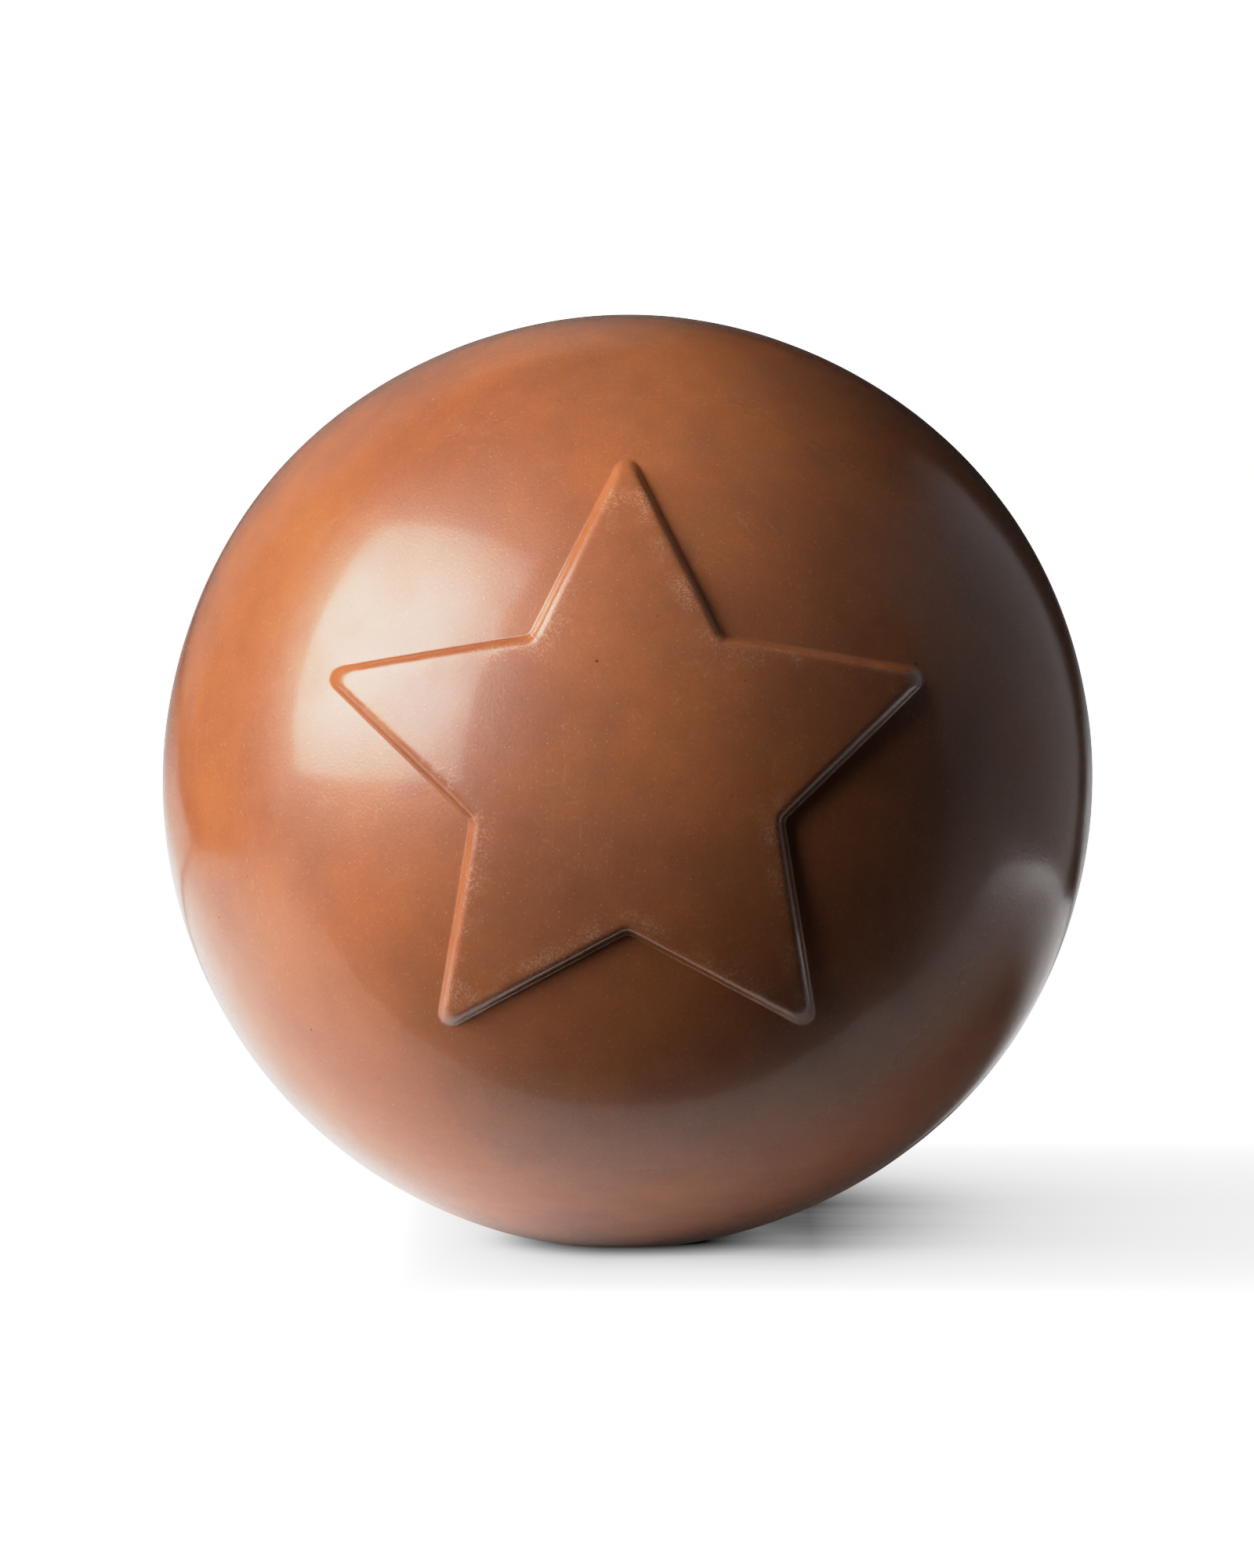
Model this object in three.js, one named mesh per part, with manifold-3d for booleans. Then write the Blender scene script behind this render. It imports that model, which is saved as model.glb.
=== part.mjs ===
// A hot chocolate sphere: one moulded ball of milk chocolate, made as two half shells that are
// joined back to back, with a raised five-pointed star on its front.
//
// Millimetres, +Z up. The ball rests on a small flat spot, and the origin is the middle of that
// spot. The star faces -Y and looks up a little, as the ball has settled slightly tipped back.

import * as THREE from 'three';
import { mergeVertices } from 'three/addons/utils/BufferGeometryUtils.js';
import Module from 'manifold-3d';

const wasm = await Module();
wasm.setup();

const { clamp, degToRad, lerp, smoothstep } = THREE.MathUtils;

// ---- Driving dimensions ----------------------------------------------------------------------

const BALL_RADIUS = 30;
const REST_SPOT_RADIUS = 3.4;
const FACE_TILT = degToRad(6.2);      // how far the star's axis looks up from the horizontal

const STAR_POINTS = 5;
const STAR_TIP_RADIUS = 20.8;         // to the tips as drawn, before they are rounded
const STAR_NOTCH_RADIUS = 10.4;       // to the notches, before their fillet
const STAR_TIP_ROUNDING = 0.9;        // plan radius of a tip at the relief's foot
const STAR_TIP_TIGHTENING = 0.45;     // how much that radius shrinks for each mm further in
const STAR_NOTCH_FILLET = 0.5;        // plan radius of a notch at the relief's foot
const RELIEF_HEIGHT = 0.85;           // measured along the star's axis, the way the mould draws
const WALL_WIDTH = 1.3;               // from the relief's foot to its flat, seen from the front
const WALL_FOOT_SHARE = 0.2;          // share of the wall that curves up from the ball
const WALL_EDGE_SHARE = 0.75;         // share of the wall that rounds over to the flat
const WALL_FOOT_POWER = 3;            // power by which the slope grows from the foot
const WALL_EDGE_POWER = 4;            // power by which it grows from the flat, which is softer

const SEAM_HEIGHT = 0.12;             // ridge left where the two half shells were joined
const SEAM_HALF_WIDTH = 0.8;
const WAVE_HEIGHT = 0.05;             // each of the shallow waves that make the ball uneven
const WAVE_COUNT = 5;

// ---- How finely the surface is divided -------------------------------------------------------

const TIP_COLUMNS = 3;                // from a tip's middle to the end of its rounding
const EDGE_COLUMNS = 5;               // along the straight edge from tip to notch
const NOTCH_COLUMNS = 2;              // from the end of the notch's fillet to its middle
const BACK_RINGS = 11;
const SEAM_RINGS = 4;
const SHOULDER_RINGS = 5;             // from the seam forwards to the circle round the star
const APRON_RINGS = 5;                // from that circle in to the relief's foot
const WALL_RINGS = 8;
const WALL_RING_EASE = 1.5;           // puts the wall's rings closer together near its foot
const FLAT_RINGS = 6;

const APRON_RADIUS = 23;              // circle round the star where the plain ball begins

// ---- Values that follow ----------------------------------------------------------------------

const CENTRE_HEIGHT = Math.sqrt(BALL_RADIUS ** 2 - REST_SPOT_RADIUS ** 2);
const HALF_SECTOR = Math.PI / STAR_POINTS;
const EDGE_LENGTH = Math.sqrt(
  STAR_TIP_RADIUS ** 2 + STAR_NOTCH_RADIUS ** 2
  - 2 * STAR_TIP_RADIUS * STAR_NOTCH_RADIUS * Math.cos(HALF_SECTOR));
// Distance from the star's centre to the line of each edge, and the angle from a tip to the
// direction in which that line is nearest.
const EDGE_DISTANCE =
  STAR_TIP_RADIUS * STAR_NOTCH_RADIUS * Math.sin(HALF_SECTOR) / EDGE_LENGTH;
const EDGE_NORMAL = Math.acos(EDGE_DISTANCE / STAR_TIP_RADIUS);
const COLUMNS_PER_HALF_SECTOR = TIP_COLUMNS + EDGE_COLUMNS + NOTCH_COLUMNS;
const COLUMNS = 2 * STAR_POINTS * COLUMNS_PER_HALF_SECTOR;
const SEAM_POLAR = Math.PI / 2;
const SEAM_REACH = 2 * SEAM_HALF_WIDTH / BALL_RADIUS;
const APRON_POLAR = Math.asin(APRON_RADIUS / BALL_RADIUS);

// ---- The star's outline ----------------------------------------------------------------------

// The rounded corners of the outline that lies `inset` inside the relief's foot. A tip's arc is
// centred on the tip's own axis, inside the star, and gets tighter inwards; a notch's arc is
// centred outside the star and gets wider inwards.
function corners(inset) {
  const tipRadius = STAR_TIP_ROUNDING - STAR_TIP_TIGHTENING * inset;
  const notchRadius = STAR_NOTCH_FILLET + inset;
  const tipCentre = (EDGE_DISTANCE - inset - tipRadius) * STAR_TIP_RADIUS / EDGE_DISTANCE;
  const notchLean = EDGE_NORMAL - HALF_SECTOR;
  const notchCentre = (EDGE_DISTANCE - inset + notchRadius) / Math.cos(notchLean);
  return {
    tipRadius, tipCentre, notchRadius, notchCentre,
    tipEnd: Math.atan2(
      tipRadius * Math.sin(EDGE_NORMAL), tipCentre + tipRadius * Math.cos(EDGE_NORMAL)),
    notchEnd: Math.atan2(
      notchRadius * Math.sin(notchLean), notchCentre - notchRadius * Math.cos(notchLean)),
  };
}

// Distance from the star's centre to the outline, `angle` round from the nearest tip.
function outlineRadius(angle, inset) {
  const corner = corners(inset);
  const fromNotch = HALF_SECTOR - angle;
  if (angle < corner.tipEnd) {
    const across = corner.tipCentre * Math.sin(angle);
    return corner.tipCentre * Math.cos(angle) + Math.sqrt(corner.tipRadius ** 2 - across ** 2);
  }
  if (fromNotch < corner.notchEnd) {
    const across = corner.notchCentre * Math.sin(fromNotch);
    return corner.notchCentre * Math.cos(fromNotch)
      - Math.sqrt(corner.notchRadius ** 2 - across ** 2);
  }
  return (EDGE_DISTANCE - inset) / Math.cos(EDGE_NORMAL - angle);
}

// Angles from a tip to the next notch: close together round both corners, and evenly spaced
// along the straight edge between them.
function halfSectorAngles() {
  const { tipEnd, notchEnd } = corners(0);
  const edgeStart = Math.tan(EDGE_NORMAL - tipEnd);
  const edgeEnd = Math.tan(EDGE_NORMAL - HALF_SECTOR + notchEnd);
  const angles = [];
  for (let i = 0; i < TIP_COLUMNS; i++) {
    angles.push(tipEnd * i / TIP_COLUMNS);
  }
  for (let i = 0; i < EDGE_COLUMNS; i++) {
    angles.push(EDGE_NORMAL - Math.atan(lerp(edgeStart, edgeEnd, i / EDGE_COLUMNS)));
  }
  for (let i = 0; i < NOTCH_COLUMNS; i++) {
    angles.push(HALF_SECTOR - notchEnd * (1 - i / NOTCH_COLUMNS));
  }
  return angles;
}

// Every column of the surface has an even azimuth, used behind the star, an azimuth that fits the
// star, and its angle from the nearest tip. Azimuths start at the top tip and run towards +X.
function makeColumns() {
  const towardsNotch = halfSectorAngles();
  const towardsTip = [HALF_SECTOR, ...towardsNotch.slice(1).reverse()];
  const columns = [];
  for (let point = 0; point < STAR_POINTS; point++) {
    const tipAzimuth = 2 * HALF_SECTOR * point;
    towardsNotch.forEach((angle) => columns.push({ star: tipAzimuth + angle, angle }));
    towardsTip.forEach((angle) => {
      columns.push({ star: tipAzimuth + 2 * HALF_SECTOR - angle, angle });
    });
  }
  columns.push({ star: 2 * Math.PI, angle: 0 });
  columns.forEach((column, i) => { column.even = 2 * Math.PI * i / COLUMNS; });
  return columns;
}

// ---- The ball's surface ----------------------------------------------------------------------

// Shallow waves in directions spread evenly by the golden angle, each a little shorter.
function waves(direction) {
  let sum = 0;
  for (let i = 0; i < WAVE_COUNT; i++) {
    const height = 1 - (2 * i + 1) / WAVE_COUNT;
    const turn = i * Math.PI * (3 - Math.sqrt(5));
    const across = Math.sqrt(1 - height ** 2);
    const along = direction.x * across * Math.cos(turn)
      + direction.y * across * Math.sin(turn) + direction.z * height;
    sum += WAVE_HEIGHT * Math.sin((3 + i) * along + 2 * i);
  }
  return sum;
}

// The joint's ridge: a low rounded bead on the great circle behind the star, uneven in height.
function seamRidge(polar, azimuth) {
  const away = BALL_RADIUS * (polar - SEAM_POLAR) / SEAM_HALF_WIDTH;
  const uneven = 0.7 + 0.3 * Math.sin(3 * azimuth + 1) * Math.cos(5 * azimuth);
  return SEAM_HEIGHT * uneven * Math.exp(-(away ** 2));
}

// Rise over a curve whose slope grows from 0 to 1 with the given power of the distance.
function curveRise(distance, reach, power) {
  return reach / (power + 1) * (distance / reach) ** (power + 1);
}

// Height of the relief's wall, from 0 at its foot to 1 at its flat: a short curve up from the
// ball, a steep face, and a long soft curve over to the flat.
function wallRise(share) {
  const foot = curveRise(Math.min(share, WALL_FOOT_SHARE), WALL_FOOT_SHARE, WALL_FOOT_POWER);
  const faceShare = 1 - WALL_FOOT_SHARE - WALL_EDGE_SHARE;
  const face = clamp(share - WALL_FOOT_SHARE, 0, faceShare);
  const wholeFoot = curveRise(WALL_FOOT_SHARE, WALL_FOOT_SHARE, WALL_FOOT_POWER);
  const wholeEdge = curveRise(WALL_EDGE_SHARE, WALL_EDGE_SHARE, WALL_EDGE_POWER);
  const left = Math.min(1 - share, WALL_EDGE_SHARE);
  const edge = wholeEdge - curveRise(left, WALL_EDGE_SHARE, WALL_EDGE_POWER);
  return (foot + face + edge) / (wholeFoot + faceShare + wholeEdge);
}

// A point of the ball, `polar` from the star's axis, lifted by `raise` along that axis.
function ballPoint(polar, azimuth, raise) {
  const direction = new THREE.Vector3(
    Math.sin(polar) * Math.sin(azimuth), -Math.cos(polar), Math.sin(polar) * Math.cos(azimuth));
  const radius = BALL_RADIUS + waves(direction) + seamRidge(polar, azimuth);
  const point = direction.multiplyScalar(radius);
  point.y -= raise;
  return point;
}

// ---- The rings, from the back of the ball to the middle of the star --------------------------

// Each ring is a function from a column to a point.
function circleRing(polar) {
  return (column) => ballPoint(polar, column.even, 0);
}

function apronRing(share) {
  const spread = smoothstep(share, 0, 1);
  return (column) => {
    const radius = lerp(APRON_RADIUS, outlineRadius(column.angle, 0), share);
    return ballPoint(
      Math.asin(radius / BALL_RADIUS), lerp(column.even, column.star, spread), 0);
  };
}

function wallRing(share) {
  return (column) => {
    const radius = outlineRadius(column.angle, share * WALL_WIDTH);
    return ballPoint(
      Math.asin(radius / BALL_RADIUS), column.star, RELIEF_HEIGHT * wallRise(share));
  };
}

function flatRing(scale) {
  return (column) => {
    const radius = scale * outlineRadius(column.angle, WALL_WIDTH);
    return ballPoint(Math.asin(radius / BALL_RADIUS), column.star, RELIEF_HEIGHT);
  };
}

// `count` steps from `from` towards `to`, without `to` itself, each turned into a ring.
function ringSteps(makeRing, from, to, count) {
  return Array.from({ length: count }, (_, i) => makeRing(lerp(from, to, i / count)));
}

function makeRings() {
  const behindSeam = SEAM_POLAR + SEAM_REACH;
  const beforeSeam = SEAM_POLAR - SEAM_REACH;
  return [
    ...ringSteps(circleRing, Math.PI, behindSeam, BACK_RINGS),
    ...ringSteps(circleRing, behindSeam, beforeSeam, SEAM_RINGS),
    ...ringSteps(circleRing, beforeSeam, APRON_POLAR, SHOULDER_RINGS),
    ...ringSteps(apronRing, 0, 1, APRON_RINGS),
    ...ringSteps((step) => wallRing(step ** WALL_RING_EASE), 0, 1, WALL_RINGS),
    ...ringSteps(flatRing, 1, 0, FLAT_RINGS),
    flatRing(0),
  ];
}

// ---- Solids ----------------------------------------------------------------------------------

// A sphere's grid of rows and columns, with each row moved on to its ring. The grid's poles lie
// on the star's axis, its first row at the back.
function ballGeometry() {
  const rings = makeRings();
  const columns = makeColumns();
  const geometry = new THREE.SphereGeometry(1, COLUMNS, rings.length - 1);
  const positions = geometry.getAttribute('position');
  rings.forEach((ring, row) => {
    columns.forEach((column, i) => {
      const point = ring(column);
      positions.setXYZ(row * columns.length + i, point.x, point.y, point.z);
    });
  });
  geometry.rotateX(-FACE_TILT);
  geometry.translate(0, 0, CENTRE_HEIGHT);
  return geometry;
}

function toSolid(geometry) {
  const bare = geometry.clone();
  bare.deleteAttribute('normal');
  bare.deleteAttribute('uv');
  const merged = mergeVertices(bare);
  return new wasm.Manifold(new wasm.Mesh({
    numProp: 3,
    vertProperties: new Float32Array(merged.getAttribute('position').array),
    triVerts: new Uint32Array(merged.getIndex().array),
  }));
}

function toGeometry(solid) {
  const mesh = solid.getMesh();
  const geometry = new THREE.BufferGeometry();
  geometry.setAttribute('position', new THREE.BufferAttribute(mesh.vertProperties, 3));
  geometry.setIndex(new THREE.BufferAttribute(mesh.triVerts, 1));
  geometry.computeVertexNormals();
  return geometry;
}

// The ball with its rest spot: all that lies below the surface it stands on is cut away.
function restingBall() {
  const side = 2 * BALL_RADIUS;
  const below = new THREE.BoxGeometry(side, side, side).translate(0, 0, -side / 2);
  return toGeometry(toSolid(ballGeometry()).subtract(toSolid(below)));
}

// ---- The model -------------------------------------------------------------------------------

const milkChocolate = new THREE.MeshStandardMaterial({
  color: new THREE.Color(0.25, 0.09, 0.042),
  roughness: 0.4,
  metalness: 0,
});

const ball = new THREE.Mesh(restingBall(), milkChocolate);
ball.name = 'chocolate_ball';

const hotChocolateSphere = new THREE.Group();
hotChocolateSphere.add(ball);

export default hotChocolateSphere;
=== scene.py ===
"""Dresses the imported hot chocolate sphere: a moulded ball of milk chocolate with a raised star.

The ball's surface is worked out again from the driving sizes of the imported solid, many times
finer, and stands for it. Everything is in metres, +Z up, with the star facing -Y and the origin in
the middle of the flat spot that the ball rests on.
"""

from __future__ import annotations

import logging
import math
from dataclasses import dataclass, field
from enum import Enum

import bpy
import numpy as np
from mathutils import Matrix, Vector

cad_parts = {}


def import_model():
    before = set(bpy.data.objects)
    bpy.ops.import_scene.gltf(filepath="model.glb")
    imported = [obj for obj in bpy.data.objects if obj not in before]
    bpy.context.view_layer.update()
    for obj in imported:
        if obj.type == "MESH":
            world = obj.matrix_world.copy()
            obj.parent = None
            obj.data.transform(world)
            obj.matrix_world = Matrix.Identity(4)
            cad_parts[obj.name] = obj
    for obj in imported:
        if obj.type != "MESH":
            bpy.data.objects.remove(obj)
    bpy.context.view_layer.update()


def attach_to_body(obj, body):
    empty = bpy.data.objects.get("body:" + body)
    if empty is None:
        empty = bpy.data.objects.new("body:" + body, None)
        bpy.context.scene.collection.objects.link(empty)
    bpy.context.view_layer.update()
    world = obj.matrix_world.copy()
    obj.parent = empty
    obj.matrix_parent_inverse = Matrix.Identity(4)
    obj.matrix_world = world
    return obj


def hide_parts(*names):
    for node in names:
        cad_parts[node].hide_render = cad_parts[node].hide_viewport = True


log = logging.getLogger("hot_chocolate_sphere")

MM = 0.001
EDGE_ATTRIBUTE = "relief_edge_mm"
SEAM_ATTRIBUTE = "before_seam_mm"
SCRATCH_WANDER = 0.08

Array = np.ndarray
Triple = tuple[float, float, float]
Span = tuple[float, float]
Points = tuple[Span, ...]
Socket = bpy.types.NodeSocket


# ---- The star ----------------------------------------------------------------------------------


@dataclass(frozen=True)
class StarOutline:
    """Plan of the raised star, seen along its own axis, with one tip up."""

    points: int = 5
    tip_radius: float = 20.8 * MM
    notch_radius: float = 10.4 * MM
    tip_rounding: float = 0.9 * MM
    tip_tightening: float = 0.45
    notch_fillet: float = 0.5 * MM

    @property
    def half_sector(self) -> float:
        """Angle from a tip to the next notch."""
        return math.pi / self.points

    @property
    def edge_distance(self) -> float:
        """Distance from the centre to the line of each straight edge."""
        edge = math.sqrt(
            self.tip_radius**2
            + self.notch_radius**2
            - 2 * self.tip_radius * self.notch_radius * math.cos(self.half_sector)
        )
        return self.tip_radius * self.notch_radius * math.sin(self.half_sector) / edge

    @property
    def edge_normal(self) -> float:
        """Angle from a tip to the direction in which the edge's line is nearest."""
        return math.acos(self.edge_distance / self.tip_radius)

    @property
    def notch_lean(self) -> float:
        """Angle from a notch back to that direction."""
        return self.edge_normal - self.half_sector

    def tip_arc(self, inset: Array) -> tuple[Array, Array, Array]:
        """The arc that rounds a tip, centred on the tip's axis and tighter further in.

        Args:
            inset: how far the outline lies inside the relief's foot.

        Returns:
            The arc's radius, its centre's distance and the angle at which it meets the edge.
        """
        radius = self.tip_rounding - self.tip_tightening * inset
        centre = (self.edge_distance - inset - radius) * self.tip_radius / self.edge_distance
        end = np.arctan2(
            radius * math.sin(self.edge_normal), centre + radius * math.cos(self.edge_normal)
        )
        return radius, centre, end

    def notch_arc(self, inset: Array) -> tuple[Array, Array, Array]:
        """The arc that fills a notch, centred outside the star and wider further in.

        Args:
            inset: how far the outline lies inside the relief's foot.

        Returns:
            The arc's radius, its centre's distance and its end's angle from the notch.
        """
        radius = self.notch_fillet + inset
        centre = (self.edge_distance - inset + radius) / math.cos(self.notch_lean)
        end = np.arctan2(
            radius * math.sin(self.notch_lean), centre - radius * math.cos(self.notch_lean)
        )
        return radius, centre, end

    def radius(self, angle: Array, inset: Array) -> Array:
        """Distance from the centre to the outline.

        On a straight edge it is the edge's distance over the cosine of the angle to its normal.
        On an arc it is where a ray from the centre meets the arc: the far side of a tip's, the
        near side of a notch's.

        Args:
            angle: angles round from the nearest tip, as a row.
            inset: distances inside the relief's foot, as a column.

        Returns:
            A grid with a row for each inset and a column for each angle.
        """
        tip_radius, tip_centre, tip_end = self.tip_arc(inset)
        notch_radius, notch_centre, notch_end = self.notch_arc(inset)
        from_notch = self.half_sector - angle
        tip_reach = tip_radius**2 - (tip_centre * np.sin(angle)) ** 2
        notch_reach = notch_radius**2 - (notch_centre * np.sin(from_notch)) ** 2
        tip = tip_centre * np.cos(angle) + np.sqrt(np.maximum(tip_reach, 0))
        notch = notch_centre * np.cos(from_notch) - np.sqrt(np.maximum(notch_reach, 0))
        edge = (self.edge_distance - inset) / np.cos(self.edge_normal - angle)
        return np.where(angle < tip_end, tip, np.where(from_notch < notch_end, notch, edge))


@dataclass(frozen=True)
class ReliefWall:
    """The steep wall between the ball and the flat of the star, with its soft upper edge."""

    height: float = 0.85 * MM
    width: float = 1.3 * MM
    foot_share: float = 0.2
    edge_share: float = 0.75
    foot_power: float = 3
    edge_power: float = 4

    @staticmethod
    def curve_rise(distance: Array | float, reach: float, power: float) -> Array | float:
        """Rise over a curve whose slope grows from 0 to 1 with a power of the distance."""
        return reach / (power + 1) * (distance / reach) ** (power + 1)

    def rise(self, share: Array) -> Array:
        """Height of the wall as a share of the relief's.

        A short curve up from the ball, a steep face, and a long soft curve over to the flat,
        whose slopes agree where they meet.

        Args:
            share: how far across the wall, 0 at its foot and 1 at the flat.

        Returns:
            0 at the foot to 1 at the flat.
        """
        face_share = 1 - self.foot_share - self.edge_share
        whole_foot = self.curve_rise(self.foot_share, self.foot_share, self.foot_power)
        whole_edge = self.curve_rise(self.edge_share, self.edge_share, self.edge_power)
        into_foot = np.minimum(share, self.foot_share)
        foot = self.curve_rise(into_foot, self.foot_share, self.foot_power)
        face = np.clip(share - self.foot_share, 0, face_share)
        left = np.minimum(1 - share, self.edge_share)
        edge = whole_edge - self.curve_rise(left, self.edge_share, self.edge_power)
        return (foot + face + edge) / (whole_foot + face_share + whole_edge)


# ---- The grid ----------------------------------------------------------------------------------


class Zone(Enum):
    """Zones of the surface from the back of the ball to the middle of the star, with rings."""

    BACK = 34
    SEAM = 18
    SHOULDER = 26
    APRON = 22
    WALL = 36
    FLAT = 26


@dataclass(frozen=True)
class Columns:
    """Where the columns of the grid run: one row of azimuths behind the star, one that fits it.

    Azimuths start at the star's top tip and run towards +X.
    """

    even: Array
    star: Array
    angle: Array

    @classmethod
    def fit(cls, outline: StarOutline, tip: int = 10, edge: int = 43, notch: int = 7) -> Columns:
        """Spaces the columns closely round both corners, and evenly along each straight edge.

        Args:
            outline: the star that they have to fit.
            tip: columns from a tip's middle to the end of its arc.
            edge: columns along the straight edge.
            notch: columns from the end of the notch's arc to its middle.

        Returns:
            The columns all the way round.
        """
        foot = np.zeros(1)
        tip_end = outline.tip_arc(foot)[2][0]
        notch_end = outline.notch_arc(foot)[2][0]
        start = math.tan(outline.edge_normal - tip_end)
        stop = math.tan(outline.notch_lean + notch_end)
        along = np.linspace(start, stop, edge, endpoint=False)
        towards_notch = np.concatenate(
            [
                np.linspace(0, tip_end, tip, endpoint=False),
                outline.edge_normal - np.arctan(along),
                outline.half_sector - np.linspace(notch_end, 0, notch, endpoint=False),
            ]
        )
        towards_tip = np.concatenate([[outline.half_sector], towards_notch[:0:-1]])
        angle = np.tile(np.concatenate([towards_notch, towards_tip]), outline.points)
        sector = 2 * outline.half_sector
        within = np.concatenate([towards_notch, sector - towards_tip])
        star = (np.arange(outline.points)[:, None] * sector + within[None, :]).ravel()
        even = np.linspace(0, 2 * math.pi, star.size, endpoint=False)
        return cls(even, star, angle)


@dataclass(frozen=True)
class Band:
    """A band of rings: the grid's rows for one zone, before they are put on the ball."""

    polar: Array
    azimuth: Array
    lift: Array
    edge_distance: Array


# ---- The ball ----------------------------------------------------------------------------------


@dataclass(frozen=True)
class MouldedBall:
    """The whole ball: two moulded half shells joined back to back, with the star on the front."""

    radius: float = 30 * MM
    rest_spot_radius: float = 3.4 * MM
    face_tilt: float = math.radians(6.2)
    apron_radius: float = 23 * MM
    seam_height: float = 0.12 * MM
    seam_half_width: float = 0.8 * MM
    wave_height: float = 0.05 * MM
    wave_count: int = 5
    ripple_height: float = 0.0009 * MM
    ripple_length: float = 3.2 * MM
    ripple_count: int = 24
    ripple_pitches: Span = (0.5, 1.3)
    edge_wobble: float = 0.02 * MM
    wobble_shares: tuple[tuple[int, float], ...] = ((1, 0.5), (4, 0.8), (12, 1.0))
    wall_ease: float = 1.3
    flat_ease: float = 1.6
    seed: int = 11
    outline: StarOutline = field(default_factory=StarOutline)
    wall: ReliefWall = field(default_factory=ReliefWall)

    @property
    def centre_height(self) -> float:
        """Height of the ball's centre above the flat spot."""
        return math.sqrt(self.radius**2 - self.rest_spot_radius**2)

    def waves(self, direction: Array) -> Array:
        """Shallow waves that make the ball uneven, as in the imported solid.

        A sum of sines of the direction's length along axes that the golden angle spreads evenly
        over the ball, each a little shorter than the last.

        Args:
            direction: unit vectors in the star's frame, along the last axis.

        Returns:
            How far the surface stands out, one value for each vector.
        """
        total = np.zeros(direction.shape[:-1])
        for i in range(self.wave_count):
            height = 1 - (2 * i + 1) / self.wave_count
            turn = i * math.pi * (3 - math.sqrt(5))
            across = math.sqrt(1 - height**2)
            axis = np.array([across * math.cos(turn), across * math.sin(turn), height])
            total += self.wave_height * np.sin((3 + i) * (direction @ axis) + 2 * i)
        return total

    def ripples(self, direction: Array) -> Array:
        """The mould's own faint ripple, which bends the edges of reflections a little.

        A sum of short sines along random axes with random phases.

        Args:
            direction: unit vectors in the star's frame, along the last axis.

        Returns:
            How far the surface stands out, one value for each vector.
        """
        rng = np.random.default_rng(self.seed)
        axes = rng.normal(size=(self.ripple_count, 3))
        axes /= np.linalg.norm(axes, axis=1)[:, None]
        pitch = 2 * math.pi * self.radius / self.ripple_length
        pitches = pitch * rng.uniform(*self.ripple_pitches, self.ripple_count)
        phases = rng.uniform(0, 2 * math.pi, self.ripple_count)
        total = np.zeros(direction.shape[:-1])
        for axis, each, phase in zip(axes, pitches, phases):
            total += np.sin(each * (direction @ axis) + phase)
        return self.ripple_height * total

    def seam_ridge(self, polar: Array, azimuth: Array) -> Array:
        """The bead left where the half shells were joined: a bell curve across the joint.

        Its height varies round the joint with the product of a sine and a cosine.

        Args:
            polar: angles from the star's axis; the joint lies a quarter turn from it.
            azimuth: angles round that axis, by which the bead varies in height.

        Returns:
            How far the bead stands out.
        """
        away = self.radius * (polar - math.pi / 2) / self.seam_half_width
        uneven = 0.7 + 0.3 * np.sin(3 * azimuth + 1) * np.cos(5 * azimuth)
        return self.seam_height * uneven * np.exp(-(away**2))

    def polar_of(self, radius: Array) -> Array:
        """Angle from the star's axis at which the ball is so far from that axis."""
        return np.arcsin(radius / self.radius)

    def circles(self, polar: Array, columns: Columns) -> Band:
        """Plain circles round the star's axis.

        Args:
            polar: their angles from that axis, as a column.
            columns: where the grid's columns run.

        Returns:
            The band of circles.
        """
        level = np.zeros_like(polar + columns.even)
        outside = self.outline.tip_radius - self.apron_radius - self.wall.width
        return Band(polar + level, columns.even + level, level, outside + level)

    def apron(self, share: Array, columns: Columns) -> Band:
        """Rings that change from a circle to the relief's foot.

        The radius goes straight from one to the other. The columns turn from their even azimuths
        to those that fit the star, by a smooth step of the same share.

        Args:
            share: how far across the apron, 0 at the circle and 1 at the foot, as a column.
            columns: where the grid's columns run.

        Returns:
            The band of rings.
        """
        foot = self.outline.radius(columns.angle, np.zeros((1, 1)))
        radius = self.apron_radius + (foot - self.apron_radius) * share
        spread = share**2 * (3 - 2 * share)
        azimuth = columns.even + (columns.star - columns.even) * spread
        away = np.minimum(foot - radius, 0) - self.wall.width
        return Band(self.polar_of(radius), azimuth, np.zeros_like(radius), away)

    def wall_rings(self, share: Array, columns: Columns) -> Band:
        """Rings that climb the wall.

        Each is the star's outline, drawn in by its share of the wall's width, and uneven towards
        the top.

        Args:
            share: how far across the wall, 0 at its foot and 1 at the flat, as a column.
            columns: where the grid's columns run.

        Returns:
            The band of rings.
        """
        inset = share * self.wall.width
        wobble = self.wobble(columns.star.size)
        radius = self.outline.radius(columns.angle, inset) + wobble * share * (2 - share)
        azimuth = columns.star + np.zeros_like(radius)
        lift = self.wall.height * self.wall.rise(share) + np.zeros_like(radius)
        return Band(self.polar_of(radius), azimuth, lift, inset - self.wall.width + 0 * radius)

    def flat_rings(self, scale: Array, columns: Columns) -> Band:
        """Rings on the star's flat: its upper outline, scaled towards the middle.

        Args:
            scale: 1 at the flat's rim and 0 in the middle, as a column.
            columns: where the grid's columns run.

        Returns:
            The band of rings.
        """
        rim = self.outline.radius(columns.angle, np.array([[self.wall.width]]))
        near_edge = scale**6
        radius = scale * rim + near_edge * self.wobble(columns.star.size)
        azimuth = columns.star + np.zeros_like(radius)
        depth = (self.outline.edge_distance - self.wall.width) * (1 - scale)
        lift = np.full_like(radius, self.wall.height)
        return Band(self.polar_of(radius), azimuth, lift, depth + 0 * radius)

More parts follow.
